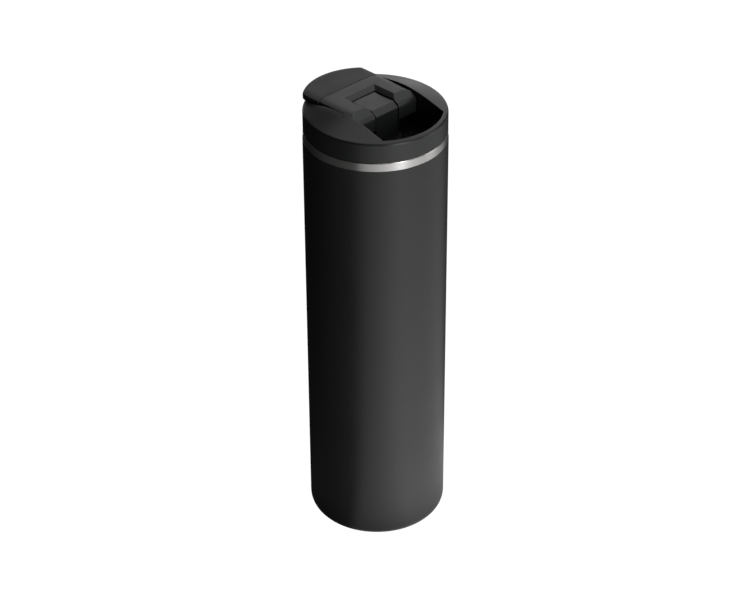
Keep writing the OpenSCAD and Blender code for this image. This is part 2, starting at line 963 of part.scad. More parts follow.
// Screws that hold the carrier to the frame's tongue
module carrier_screws() {
    color("silver")
        for (side = [-1, 1])
            translate([side * carrier_screw_x, carrier_y, carrier_low_z - joint_gap])
                small_screw(tongue_top_z - carrier_low_z, carrier_screw_r - run_gap);
}

outer_shell();
powder_coat();
base_disc();
vacuum_base();
seal_pellet();
getter_pad();
inner_liner();
liner_foil();
lid_gasket();
lid_shell();
lid_plug();
vent_valve();
button_well();
well_seal();
button_spring();
release_button();
latch_clip();
clip_screws();
hinge_pins();
cover_springs();
cover_frame();
cover_tab();
seal_carrier();
spout_seal();
carrier_screws();
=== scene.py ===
import json
import math

import bmesh
import bpy
from mathutils import Matrix, Vector


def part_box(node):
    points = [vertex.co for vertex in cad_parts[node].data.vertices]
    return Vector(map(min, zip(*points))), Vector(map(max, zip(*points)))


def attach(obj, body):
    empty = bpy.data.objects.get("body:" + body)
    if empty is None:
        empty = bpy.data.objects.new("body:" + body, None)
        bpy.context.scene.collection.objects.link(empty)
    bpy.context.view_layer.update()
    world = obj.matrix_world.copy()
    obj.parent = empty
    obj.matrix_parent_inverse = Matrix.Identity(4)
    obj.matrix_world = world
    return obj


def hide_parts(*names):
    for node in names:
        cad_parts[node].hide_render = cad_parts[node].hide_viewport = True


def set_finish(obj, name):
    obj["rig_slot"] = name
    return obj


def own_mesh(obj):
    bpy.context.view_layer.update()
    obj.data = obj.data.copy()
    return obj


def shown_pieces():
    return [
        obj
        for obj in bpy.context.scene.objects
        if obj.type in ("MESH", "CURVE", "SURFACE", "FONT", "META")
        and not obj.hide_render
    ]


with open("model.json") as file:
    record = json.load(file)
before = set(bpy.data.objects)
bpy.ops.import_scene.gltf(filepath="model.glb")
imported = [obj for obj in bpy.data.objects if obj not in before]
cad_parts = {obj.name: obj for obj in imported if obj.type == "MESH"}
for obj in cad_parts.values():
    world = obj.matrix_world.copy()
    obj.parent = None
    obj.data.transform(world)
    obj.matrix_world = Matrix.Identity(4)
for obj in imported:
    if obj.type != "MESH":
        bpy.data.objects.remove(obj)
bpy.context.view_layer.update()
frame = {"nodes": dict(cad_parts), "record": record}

MM = 0.001
BODY_OF = {}
for body_name, body_nodes in frame["record"]["behaviour"]["bodies"].items():
    for body_node in body_nodes:
        BODY_OF[body_node] = body_name
SLOT_OF = {sub["node"]: sub["material_slot"] for sub in frame["record"]["subparts"]}

# Places taken from the frame, in millimetres
COAT_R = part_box("powder_coat")[1].x / MM
COAT_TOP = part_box("powder_coat")[1].z / MM
SHELL_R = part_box("outer_shell")[1].x / MM
RIM_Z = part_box("outer_shell")[1].z / MM
LINER_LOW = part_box("inner_liner")[0].z / MM
LINER_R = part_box("inner_liner")[1].x / MM
GASKET_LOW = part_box("lid_gasket")[0].z / MM
GASKET_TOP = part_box("lid_gasket")[1].z / MM
GASKET_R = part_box("lid_gasket")[1].x / MM
DISC_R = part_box("base_disc")[1].x / MM
DISC_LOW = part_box("base_disc")[0].z / MM
DISC_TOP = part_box("base_disc")[1].z / MM

# Sizes of the sheet metal, in millimetres
ROUND_STEPS = 256
FILLET_STEPS = 8
FOOT_FILLET = 5.9
LINER_FILLET = 7.0
COAT_T = COAT_R - SHELL_R
SHELL_T = 0.5
LINER_T = 0.4
MOUTH_R = LINER_R - LINER_T
FOOT_HOLE_R = DISC_R + 0.02


# How the CAD's triangles are cleaned: folds in degrees, distance in millimetres
FLAT_FOLD = 0.6
SHARP_FOLD = 28
SAME_POINT = 0.004


# ---------------------------------------------------------------- mesh tools

def fillet(before, corner, after, radius, steps=FILLET_STEPS):
    """Points of the arc that rounds one corner of an outline."""
    if radius <= 0:
        return [corner]
    corner = Vector(corner)
    back = (Vector(before) - corner).normalized()
    ahead = (Vector(after) - corner).normalized()
    half = back.angle(ahead) / 2
    reach = radius / math.tan(half)
    centre = corner + (back + ahead).normalized() * (radius / math.sin(half))
    start = corner + back * reach - centre
    sweep = start.angle_signed(corner + ahead * reach - centre)
    points = []
    for i in range(steps + 1):
        turned = start.copy()
        turned.rotate(Matrix.Rotation(-sweep * i / steps, 2))
        points.append(tuple(centre + turned))
    return points


def rounded(corners):
    """Outline from (a, b, radius) corners."""
    outline = []
    for i, (a, b, radius) in enumerate(corners):
        before = corners[i - 1][:2]
        after = corners[(i + 1) % len(corners)][:2]
        outline += fillet(before, (a, b), after, radius)
    return outline


def mesh_object(name, work):
    """Makes an object from a bmesh in millimetres."""
    bmesh.ops.remove_doubles(work, verts=work.verts, dist=1e-5)
    bmesh.ops.recalc_face_normals(work, faces=work.faces)
    bmesh.ops.scale(work, vec=(MM, MM, MM), verts=work.verts)
    mesh = bpy.data.meshes.new(name)
    work.to_mesh(mesh)
    work.free()
    made = bpy.data.objects.new(name, mesh)
    bpy.context.scene.collection.objects.link(made)
    return made


def lathe(name, outline, steps=ROUND_STEPS, place=None):
    """Turns a closed (r, z) outline round the mug's axis. place may move each point."""
    work = bmesh.new()
    rings = []
    for r, z in outline:
        ring = []
        for k in range(steps):
            turn = 2 * math.pi * k / steps
            radius, height = place(r, z, turn) if place else (r, z)
            ring.append(work.verts.new((radius * math.cos(turn), radius * math.sin(turn), height)))
        rings.append(ring)
    for i, ring in enumerate(rings):
        after = rings[(i + 1) % len(rings)]
        on_axis = outline[i][0] == 0 and outline[(i + 1) % len(outline)][0] == 0
        for k in range(steps):
            n = (k + 1) % steps
            if not on_axis:
                work.faces.new((ring[k], ring[n], after[n], after[k]))
    return mesh_object(name, work)


def apply_all(thing):
    """Bakes an object's modifiers into its mesh."""
    graph = bpy.context.evaluated_depsgraph_get()
    baked = bpy.data.meshes.new_from_object(thing.evaluated_get(graph))
    thing.modifiers.clear()
    thing.data = baked


def smooth(thing, sharp_degrees=35):
    """Smooth shading that leaves real edges sharp and flat faces flat."""
    thing.data.shade_smooth()
    thing.data.set_sharp_from_angle(angle=math.radians(sharp_degrees))
    weighted = thing.modifiers.new("weighted", "WEIGHTED_NORMAL")
    weighted.keep_sharp = True
    weighted.weight = 80
    apply_all(thing)


def copy_of(node, name):
    """New object with its own copy of a CAD node's mesh."""
    made = bpy.data.objects.new(name, frame["nodes"][node].data.copy())
    bpy.context.scene.collection.objects.link(made)
    return made


def mark_edges(work, shortest_mm):
    """Marks the real edges of a mesh, at least shortest_mm long, for the bevel."""
    weight = work.edges.layers.float.new("bevel_weight_edge")
    for edge in work.edges:
        if not edge.is_manifold or edge.calc_face_angle() < math.radians(SHARP_FOLD):
            continue
        if edge.calc_length() >= shortest_mm * MM:
            edge[weight] = 1.0


def refined(node, edge_mm, name, shortest_mm=0.0):
    """A copy of a CAD node with clean faces and rounded edges.

    With a shortest_mm, only edges at least that long are rounded and the others stay sharp.
    """
    made = copy_of(node, name)
    work = bmesh.new()
    work.from_mesh(made.data)
    bmesh.ops.remove_doubles(work, verts=work.verts, dist=SAME_POINT * MM)
    bmesh.ops.dissolve_limit(work, angle_limit=math.radians(FLAT_FOLD), verts=work.verts,
                             edges=work.edges)
    bmesh.ops.recalc_face_normals(work, faces=work.faces)
    mark_edges(work, shortest_mm)
    work.to_mesh(made.data)
    work.free()
    bevel = made.modifiers.new("edges", "BEVEL")
    bevel.width = edge_mm * MM
    bevel.segments = 3
    bevel.limit_method = "WEIGHT"
    bevel.use_clamp_overlap = shortest_mm == 0
    apply_all(made)
    smooth(made)
    return made


def weld(thing, within_mm=0.01):
    """Merges points that a cut left on top of each other."""
    work = bmesh.new()
    work.from_mesh(thing.data)
    bmesh.ops.remove_doubles(work, verts=work.verts, dist=within_mm * MM)
    bmesh.ops.dissolve_degenerate(work, edges=work.edges, dist=within_mm * MM)
    loose = [edge for edge in work.edges if not edge.link_faces]
    bmesh.ops.delete(work, geom=loose, context="EDGES")
    work.to_mesh(thing.data)
    work.free()


def combine(thing, tool, operation="DIFFERENCE"):
    """Cuts, joins or intersects a piece with a tool, which is used up."""
    step = thing.modifiers.new("step", "BOOLEAN")
    step.object = tool
    step.operation = operation
    step.solver = "EXACT"
    apply_all(thing)
    bpy.data.objects.remove(tool)
    return thing


def prism(outline, low, high, along=2):
    """Straight bar with the given section. along is its axis: 0 for X, 1 for Y, 2 for Z."""
    work = bmesh.new()
    ends = []
    for height in (low, high):
        end = []
        for a, b in outline:
            point = [a, b]
            point.insert(along, height)
            end.append(work.verts.new(point))
        work.faces.new(end)
        ends.append(end)
    for k in range(len(outline)):
        n = (k + 1) % len(outline)
        work.faces.new((ends[0][k], ends[0][n], ends[1][n], ends[1][k]))
    return mesh_object("bar", work)


def circle(a, b, radius, steps=64):
    """Round section."""
    turns = [2 * math.pi * k / steps for k in range(steps)]
    return [(a + radius * math.cos(turn), b + radius * math.sin(turn)) for turn in turns]


def stadium(half_w, radius, y, steps=24):
    """Round-ended section that is long in X."""
    section = []
    for side in (1, -1):
        for k in range(steps + 1):
            turn = math.pi / 2 - math.pi * k / steps
            section.append((side * (half_w - radius + radius * math.cos(turn)),
                            y + side * radius * math.sin(turn)))
    return section


def rectangle(low_a, high_a, low_b, high_b):
    """Four-cornered section."""
    return [(low_a, low_b), (high_a, low_b), (high_a, high_b), (low_a, high_b)]


def stands_for(piece, node):
    """The piece takes the place, the body and the finish of a CAD node."""
    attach(piece, BODY_OF[node])
    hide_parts(node)
    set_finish(piece, SLOT_OF[node])
    return piece


# ---------------------------------------------------------------- cup

def make_coat():
    """Thin powder coat with a soft top edge."""
    edge = COAT_T * 0.45
    return lathe("coat_skin", rounded([
        (FOOT_HOLE_R, 0, edge),
        (COAT_R, 0, FOOT_FILLET),
        (COAT_R, COAT_TOP, edge),
        (SHELL_R + 0.01, COAT_TOP, 0),
        (SHELL_R + 0.01, COAT_T, FOOT_FILLET - COAT_T),
        (FOOT_HOLE_R, COAT_T, 0),
    ]))


def make_shell():
    """Steel outer shell: the band that shows, its rolled rim, and the wall under the coat."""
    return lathe("shell_steel", rounded([
        (FOOT_HOLE_R, COAT_T, 0),
        (SHELL_R, COAT_T, FOOT_FILLET - COAT_T),
        (SHELL_R, RIM_Z, 0.5),
        (LINER_R + 0.02, RIM_Z, 0.1),
        (LINER_R + 0.02, RIM_Z - SHELL_T, 0),
        (SHELL_R - SHELL_T, RIM_Z - SHELL_T, 0.1),
        (SHELL_R - SHELL_T, COAT_T + SHELL_T, FOOT_FILLET - COAT_T - SHELL_T),
        (FOOT_HOLE_R, COAT_T + SHELL_T, 0),
    ]))


# Bulge that stands for one rolled thread lug of the steel cup
LUG_Z = 226.6
LUG_COUNT = 3
LUG_DEPTH = 1.4
LUG_HALF_H = 0.9
LUG_HALF_ARC = math.radians(11)
LEAD = 24.0


def step_down(x, full, end):
    """1 up to full, 0 beyond end, smooth between."""
    t = min(max((x - full) / (end - full), 0), 1)
    return 1 - t * t * (3 - 2 * t)


def lug_share(z, turn):
    """How far a wall point is pushed in by the nearest lug, from 0 to 1."""
    pitch = 2 * math.pi / LUG_COUNT
    away = (turn - math.pi / 2 + pitch / 2) % pitch - pitch / 2
    centre = LUG_Z + LEAD * away / (2 * math.pi)
    across = step_down(abs(z - centre), LUG_HALF_H * 0.35, LUG_HALF_H)
    along = step_down(abs(away), LUG_HALF_ARC * 0.7, LUG_HALF_ARC)
    return across * along


def make_liner():
    """Steel liner: drink space, mouth and the three rolled lugs."""
    top_rows = 40
    low, high = LUG_Z - 3, LUG_Z + 3
    inner = [(MOUTH_R, high - (high - low) * i / top_rows) for i in range(top_rows + 1)]
    outline = fillet((0, LINER_LOW), (LINER_R, LINER_LOW), (LINER_R, RIM_Z), LINER_FILLET)
    outline = [(0, LINER_LOW)] + outline
    outline += fillet((LINER_R, LINER_LOW), (LINER_R, RIM_Z), (MOUTH_R, RIM_Z), 0.05)
    outline += fillet((LINER_R, RIM_Z), (MOUTH_R, RIM_Z), (MOUTH_R, LINER_LOW), 0.3)
    outline += inner
    outline += fillet((MOUTH_R, RIM_Z), (MOUTH_R, LINER_LOW + LINER_T), (0, LINER_LOW + LINER_T),
                      LINER_FILLET - LINER_T)
    outline += [(0, LINER_LOW + LINER_T)]

    def place(r, z, turn):
        """Pushes the mouth's wall in where a lug is."""
        if abs(r - MOUTH_R) > 1e-6 or abs(z - LUG_Z) > 3.001:
            return r, z
        return r - LUG_DEPTH * lug_share(z, turn), z

    return lathe("liner_steel", outline, place=place)


def make_base_disc():
    """Stamped bottom disc, seen from below."""
    step_r = 21.1
    step_h = 1.2
    top = DISC_LOW + SHELL_T
    return lathe("base_disc_steel", rounded([
        (0, DISC_LOW + step_h, 0),
        (step_r - 1.1, DISC_LOW + step_h, 0.8),
        (step_r, DISC_LOW, 0.6),
        (DISC_R, DISC_LOW, 0.15),
        (DISC_R, top, 0.15),
        (step_r + SHELL_T, top, 0.3),
        (step_r + SHELL_T, DISC_TOP, 0.5),
        (0, DISC_TOP, 0),
    ]))


def make_gasket():
    """Silicone ring: a flange on the rim, a skirt in the mouth and a sealing bead."""
    bore_r = 31.1
    skirt_r = MOUTH_R - 0.1
    bead_z = RIM_Z - 1.1
    return lathe("gasket_silicone", rounded([
        (bore_r, GASKET_LOW, 0.2),
        (skirt_r - 0.5, GASKET_LOW, 0.2),
        (skirt_r, bead_z, 0.3),
        (skirt_r - 0.35, bead_z + 0.7, 0.2),
        (skirt_r - 0.35, RIM_Z + 0.02, 0.1),
        (GASKET_R, RIM_Z + 0.02, 0.3),
        (GASKET_R, GASKET_TOP, 0.3),
        (bore_r, GASKET_TOP, 0.2),
    ]))


TURNED = {
    "powder_coat": make_coat,
    "outer_shell": make_shell,
    "inner_liner": make_liner,
    "base_disc": make_base_disc,
    "lid_gasket": make_gasket,
}
for node_name, make_piece in TURNED.items():
    turned = make_piece()
    smooth(turned)
    stands_for(turned, node_name)

# ---------------------------------------------------------------- lid

LID_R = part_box("lid_shell")[1].x / MM
SKIRT_Z = RIM_Z + 0.2
WALL_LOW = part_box("lid_shell")[0].z / MM
SEAT_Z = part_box("lid_plug")[1].z / MM + 0.02
SLOT_HALF_W = 20.9
LIP_R = 33.7
SKIRT_IN_R = 34.3
WELL_R = 29.3
WALL_T = 1.6
DECK_Z = 241.0
LEDGE_Z = 236.5
FRONT_WALL_Y = 13.4
FRONT_LIP_Z = 242.6
CONE_R = 35.8
CONE_Z = 242.6
CONE_SLOPE = 0.336
TOP_TILT = math.tan(math.radians(1))
LID_ROUND = 1.5
SLOT_ROUND = 0.4
DECK_ROUND = 0.3
SKIRT_ROUND = 0.3
SPOUT_Y = 24.0
SPOUT_HALF_W = 7.0
SPOUT_R = 3.0
SPOUT_DEPTH = 3.0
TAB_SEAT_SOFT = 0.25
TAB_SEAT_SIDE = 0.45
BEYOND = 40.0
CHAMBER_R = 32.0
CHAMBER_Z = DECK_Z - 1.8
ROOF_T = 2.0
POCKET_X = SLOT_HALF_W + 2
POCKET_R = SKIRT_IN_R - 0.3
BOSS_R = 4.5
BOSS_OUT_X = 27.5
PIN_LOW, PIN_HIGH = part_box("hinge_pins")
HINGE_Y = (PIN_LOW.y + PIN_HIGH.y) / 2 / MM
HINGE_Z = (PIN_LOW.z + PIN_HIGH.z) / 2 / MM
PIN_R = (PIN_HIGH.z - PIN_LOW.z) / 2 / MM
PIN_OUT_X = PIN_HIGH.x / MM
FIT = 0.02
SCREW_X = 3.6
SCREW_Z = 231.2
SCREW_R = 1.0
TOP_TANGENT_R = LID_R - LID_ROUND + LID_ROUND * math.sin(math.atan(CONE_SLOPE))
EDGE_STEPS = 10
CONE_STEPS = 8
SLOT_STEPS = 6
DECK_STEPS = 4
CORNER_STEPS = 30
CORNER_STEP = math.radians(0.15)
CLOSEST_TURNS = math.radians(0.02)


def slot_reach(turn, grow, radius=LIP_R):
    """Distance from the axis to the slot's outline when it is grown a little."""
    side = max(abs(math.cos(turn)), 1e-6)
    return min(radius + grow, (SLOT_HALF_W + grow) / side)


def deck_reach(turn, grow):
    """Distance from the axis to the recess's outline below the deck."""
    reach = slot_reach(turn, 0, WELL_R)
    if math.sin(turn) > 1e-6:
        reach = min(slot_reach(turn, 0), (FRONT_WALL_Y + grow) / math.sin(turn))
    return reach


def lid_top(r, turn):
    """Height of the lid's cone: tilted, and flat under the tab at the front."""
    x, y = r * math.cos(turn), r * math.sin(turn)
    cone = CONE_Z + (CONE_R - r) * CONE_SLOPE + y * TOP_TILT
    return cone - front_drop(cone, x, y)


def front_drop(z, x, y):
    """How much of a height is cut away under the tab."""
    if y < 0:
        return 0
    overlap = min(max(0.5 + (z - FRONT_LIP_Z) / (2 * TAB_SEAT_SOFT), 0), 1)
    lowered = z * (1 - overlap) + FRONT_LIP_Z * overlap - TAB_SEAT_SOFT * overlap * (1 - overlap)
    return (z - lowered) * step_down(abs(x), SLOT_HALF_W, SLOT_HALF_W + TAB_SEAT_SIDE)


def skirt_rows(turn):
    """Outside of the lid, from the skirt up round the top edge."""
    slope = math.atan(CONE_SLOPE)
    centre_r = LID_R - LID_ROUND
    centre_z = CONE_Z + (CONE_R - TOP_TANGENT_R) * CONE_SLOPE - LID_ROUND * math.cos(slope)
    rows = [(LID_R - SKIRT_ROUND, SKIRT_Z),
            (LID_R - SKIRT_ROUND * 0.3, SKIRT_Z + SKIRT_ROUND * 0.3),
            (LID_R, SKIRT_Z + SKIRT_ROUND), (LID_R, (SKIRT_Z + centre_z) / 2)]
    for k in range(EDGE_STEPS + 1):
        a = math.pi / 2 + (slope - math.pi / 2) * k / EDGE_STEPS
        r = centre_r + LID_ROUND * math.sin(a)
        z = centre_z + LID_ROUND * math.cos(a) + r * math.sin(turn) * TOP_TILT
        rows.append((r, z - front_drop(z, r * math.cos(turn), r * math.sin(turn))))
    return rows


def cone_rows(turn):
    """The cone, from the top edge in to the slot and round the slot's edge."""
    rows = []
    edge_r = slot_reach(turn, SLOT_ROUND)
    for k in range(1, CONE_STEPS + 1):
        r = TOP_TANGENT_R + (edge_r - TOP_TANGENT_R) * k / CONE_STEPS
        rows.append((r, lid_top(r, turn)))
    for k in range(1, SLOT_STEPS + 1):
        a = math.pi / 2 * k / SLOT_STEPS
        r = slot_reach(turn, SLOT_ROUND * (1 - math.sin(a)))
        rows.append((r, lid_top(r, turn) - SLOT_ROUND * (1 - math.cos(a))))
    return rows


def recess_rows(turn):
    """Shelf at the foot of the slot, recess wall, and the underside back out to the skirt."""
    shelf_z = DECK_Z if math.sin(turn) > 0 else LEDGE_Z
    rows = [(slot_reach(turn, 0), shelf_z)]
    for k in range(DECK_STEPS + 1):
        a = math.pi / 2 * k / DECK_STEPS
        rows.append((deck_reach(turn, DECK_ROUND * (1 - math.sin(a))),
                     shelf_z - DECK_ROUND * (1 - math.cos(a))))
    inner = deck_reach(turn, 0)
    outer = wall_reach(turn)
    low_z = WALL_LOW if outer > inner + FIT else SEAT_Z
    outer = max(outer, inner + FIT)
    rows += [(inner, low_z), (outer, low_z), (outer, SEAT_Z), (SKIRT_IN_R, SEAT_Z),
             (SKIRT_IN_R, SKIRT_Z)]
    return rows


def lid_profile(turn):
    """Closed (r, z) outline of the lid at one angle."""
    return skirt_rows(turn) + cone_rows(turn) + recess_rows(turn)


def wall_reach(turn):
    """Distance from the axis to the far side of the recess walls inside the plug."""
    reach = (SLOT_HALF_W + WALL_T) / max(abs(math.cos(turn)), 1e-6)
    if math.sin(turn) > 1e-6:
        reach = min(reach, (FRONT_WALL_Y + WALL_T) / math.sin(turn))
    return min(reach, WELL_R)


def lid_turns():
    """Angles of the lid's columns: even, with the slot's corners and finer steps beside them."""
    corner = math.acos(SLOT_HALF_W / LIP_R)
    keys = [corner, math.acos(SLOT_HALF_W / WELL_R), math.atan2(FRONT_WALL_Y, SLOT_HALF_W),
            math.acos((SLOT_HALF_W + WALL_T) / WELL_R),
            math.atan2(FRONT_WALL_Y + WALL_T, SLOT_HALF_W + WALL_T)]
    turns = [2 * math.pi * k / ROUND_STEPS for k in range(ROUND_STEPS)]
    for key in keys:
        for base in (key, math.pi - key, -key, math.pi + key):
            turns.append(base % (2 * math.pi))
    for k in range(CORNER_STEPS):
        fine = corner + CORNER_STEP * k
        turns += [fine, math.pi - fine]
    turns.sort()
    kept = [turns[0]]
    for turn in turns[1:]:
        if turn - kept[-1] > CLOSEST_TURNS:
            kept.append(turn)
    return kept


def lid_blank():
    """The lid's outer form, slot, deck and recess walls, with a solid inside."""
    work = bmesh.new()
    columns = []
    for turn in lid_turns():
        columns.append([work.verts.new((r * math.cos(turn), r * math.sin(turn), z))
                        for r, z in lid_profile(turn)])
    count = len(columns[0])
    for c, column in enumerate(columns):
        after = columns[(c + 1) % len(columns)]
        for k in range(count):
            n = (k + 1) % count
            work.faces.new((column[k], after[k], after[n], column[n]))
    return mesh_object("lid_moulding", work)


def cheek_pocket(side):
    """Hollow under one cheek, less the boss that holds the hinge pin."""
    def tilted(r, z, turn):
        """Tilts the pocket with the lid's top."""
        return r, z + r * math.sin(turn) * TOP_TILT

    def roof(r):
        """Height of the pocket's roof, one wall under the cone."""
        return CONE_Z + (CONE_R - r) * CONE_SLOPE - ROOF_T

    pocket = lathe("pocket", [(0, SKIRT_Z), (POCKET_R, SKIRT_Z), (POCKET_R, roof(POCKET_R)),
                              (0, roof(0))], place=tilted)
    ends = sorted((side * POCKET_X, side * BEYOND))
    combine(pocket, prism(rectangle(*ends, -BEYOND, BEYOND), SEAT_Z - 1, roof(0)), "INTERSECT")
    ends = sorted((side * (SLOT_HALF_W + 1), side * BOSS_OUT_X))
    return combine(pocket, prism(circle(HINGE_Y, HINGE_Z, BOSS_R), *ends, along=0))


def spout_chamber():
    """Space under the deck, between the plug and the drinking hole."""
    chamber = prism(circle(0, 0, CHAMBER_R, ROUND_STEPS), SEAT_Z - 1, CHAMBER_Z)
    front = rectangle(-SLOT_HALF_W, SLOT_HALF_W, FRONT_WALL_Y + WALL_T + FIT, BEYOND)
    return combine(chamber, prism(front, 0, 2 * CHAMBER_Z), "INTERSECT")


def wall_end(side):
    """Part of a recess side wall that runs on past the front wall, inside the plug."""
    ends = sorted((side * SLOT_HALF_W, side * (SLOT_HALF_W + WALL_T)))
    front = rectangle(*ends, FRONT_WALL_Y + WALL_T / 2, BEYOND)
    wall = prism(front, WALL_LOW, SEAT_Z + WALL_T / 2)
    return combine(wall, prism(circle(0, 0, WELL_R, ROUND_STEPS), 0, 2 * SEAT_Z), "INTERSECT")


def make_lid():
    """The lid's moulding, hollowed as the CAD lid is, with its bores and screw holes."""
    made = lid_blank()
    combine(made, spout_chamber())
    combine(made, prism(stadium(SPOUT_HALF_W, SPOUT_R, SPOUT_Y), DECK_Z - SPOUT_DEPTH, DECK_Z + 1))
    for side in (-1, 1):
        combine(made, wall_end(side), "UNION")
        combine(made, cheek_pocket(side))
        ends = sorted((side * (SLOT_HALF_W - 1), side * PIN_OUT_X))
        combine(made, prism(circle(HINGE_Y, HINGE_Z, PIN_R + FIT), *ends, along=0))
        combine(made, prism(circle(side * SCREW_X, SCREW_Z, SCREW_R), FRONT_WALL_Y - 2,
                            FRONT_WALL_Y - 2 + 2 * WALL_T, along=1))
    weld(made)
    smooth(made)
    return made


stands_for(make_lid(), "lid_shell")

# Pieces kept in the CAD's own shape, with rounded edges: node, name, edge, shortest edge in mm
EDGED = [
    ("release_button", "button_moulding", 0.45, 0.0),
    ("cover_frame", "cover_moulding", 0.3, 0.6),
    ("cover_tab", "tab_moulding", 0.45, 0.0),
]
for node_name, piece_name, edge_mm, shortest_mm in EDGED:
    stands_for(refined(node_name, edge_mm, piece_name, shortest_mm), node_name)


def make_button_spring():
    """Copy of the CAD button spring, on the same body and with its own mesh."""
    made = copy_of("button_spring", "spring_coil")
    weld(made)
    smooth(made)
    stands_for(made, "button_spring")
    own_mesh(made)


make_button_spring()


# ---------------------------------------------------------------- materials

def new_material(name):
    """A node material: its tree and its Principled shader."""
    made = bpy.data.materials.new(name)
    made.use_nodes = True
    return made, made.node_tree, made.node_tree.nodes["Principled BSDF"]


def add(tree, kind, inputs=None, **settings):
    """Adds a shader node. An input is a value or the socket that feeds it."""
    node = tree.nodes.new("ShaderNode" + kind)
    for key, value in settings.items():
        setattr(node, key, value)
    for key, value in (inputs or {}).items():
        if isinstance(value, bpy.types.NodeSocket):
            tree.links.new(value, node.inputs[key])
        else:
            node.inputs[key].default_value = value
    return node


def place_of(tree):
    """Position in the piece's own frame, in metres."""
    return add(tree, "TexCoord").outputs["Object"]


def noise(tree, point, size_mm, detail=3.0, roughness=0.55):
    """Noise between 0 and 1 with features of about size_mm."""
    made = add(tree, "TexNoise", {"Vector": point, "Scale": 1 / (size_mm * MM),
                                  "Detail": detail, "Roughness": roughness})
    return made.outputs["Fac"]


def spread(tree, value, low, high, out_low, out_high):
    """Maps low..high to out_low..out_high and clamps."""
    made = add(tree, "MapRange", {"Value": value, "From Min": low, "From Max": high,
                                  "To Min": out_low, "To Max": out_high})
    return made.outputs["Result"]


def maths(tree, operation, a, b=0.0):
    """One arithmetic step on values or sockets."""
    return add(tree, "Math", {0: a, 1: b}, operation=operation).outputs[0]


def mixed(tree, share, a, b):
    """Blend of two colours by share."""
    made = tree.nodes.new("ShaderNodeMix")
    made.data_type = "RGBA"
    for index, value in ((0, share), (6, a), (7, b)):
        if isinstance(value, bpy.types.NodeSocket):
            tree.links.new(value, made.inputs[index])
        else:
            made.inputs[index].default_value = value
    return made.outputs[2]


def edge_share(tree, radius_mm):
    """About 1 on convex and concave edges, 0 on flat faces."""
    soft = add(tree, "Bevel", {"Radius": radius_mm * MM}, samples=6).outputs["Normal"]
    plain = add(tree, "NewGeometry").outputs["Normal"]
    dot = add(tree, "VectorMath", {0: soft, 1: plain}, operation="DOT_PRODUCT").outputs["Value"]
    return spread(tree, dot, 0.995, 0.93, 0.0, 1.0)


def bump(tree, height, depth_mm, strength=1.0, under=None):
    """Bump of a 0..1 height that is depth_mm deep."""
    inputs = {"Height": height, "Distance": depth_mm * MM, "Strength": strength}
    if under is not None:
        inputs["Normal"] = under
    return add(tree, "Bump", inputs).outputs["Normal"]


def grey(value, warm=0.0):
    """A grey that leans to red when warm is above 0 and to blue below it."""
    return (value * (1 + warm), value, value * (1 - warm), 1)


def plastic(name, tone, rough, grain_mm, grain_depth, wear=0.35, warm=-0.05):
    """Moulded polypropylene: spark-eroded grain, cloudy sheen and polished edges."""
    made, tree, shader = new_material(name)
    point = place_of(tree)
    cloud = noise(tree, point, 14, 4)
    broken = spread(tree, noise(tree, point, 3), 0.35, 0.6, 0.2, 1)
    edges = maths(tree, "MULTIPLY", edge_share(tree, 0.7), broken)
    base = mixed(tree, cloud, grey(tone * 0.86, warm), grey(tone * 1.14, warm))
    worn = mixed(tree, maths(tree, "MULTIPLY", edges, wear), base, grey(tone * 2.2, warm))
    tree.links.new(worn, shader.inputs["Base Color"])
    patchy = spread(tree, cloud, 0.3, 0.7, rough - 0.04, rough + 0.05)
    tree.links.new(maths(tree, "SUBTRACT", patchy, maths(tree, "MULTIPLY", edges, 0.08)),
                   shader.inputs["Roughness"])
    fine = noise(tree, point, grain_mm, 2, 0.6)
    tree.links.new(bump(tree, fine, grain_depth), shader.inputs["Normal"])
    shader.inputs["Specular IOR Level"].default_value = 0.5
    return made


def powder(name, tone, rough):
    """Powder coat: orange peel over a fine tooth, scuffed a little at its edges."""
    made, tree, shader = new_material(name)
    point = place_of(tree)
    cloud = noise(tree, point, 30, 3)
    broken = spread(tree, noise(tree, point, 2.2), 0.45, 0.65, 0, 1)
    edges = maths(tree, "MULTIPLY", edge_share(tree, 0.5), broken)
    base = mixed(tree, cloud, grey(tone * 0.92, -0.02), grey(tone * 1.08, -0.02))
    worn = mixed(tree, maths(tree, "MULTIPLY", edges, 0.25), base, grey(tone * 3, -0.02))
    tree.links.new(worn, shader.inputs["Base Color"])
    tree.links.new(spread(tree, cloud, 0.3, 0.7, rough - 0.03, rough + 0.03), shader.inputs["Roughness"])
    tooth = bump(tree, noise(tree, point, 0.28, 2, 0.7), 0.012)
    peel = bump(tree, noise(tree, point, 1.6, 1), 0.02, under=tooth)
    tree.links.new(peel, shader.inputs["Normal"])
    shader.inputs["Specular IOR Level"].default_value = 0.5
    return made


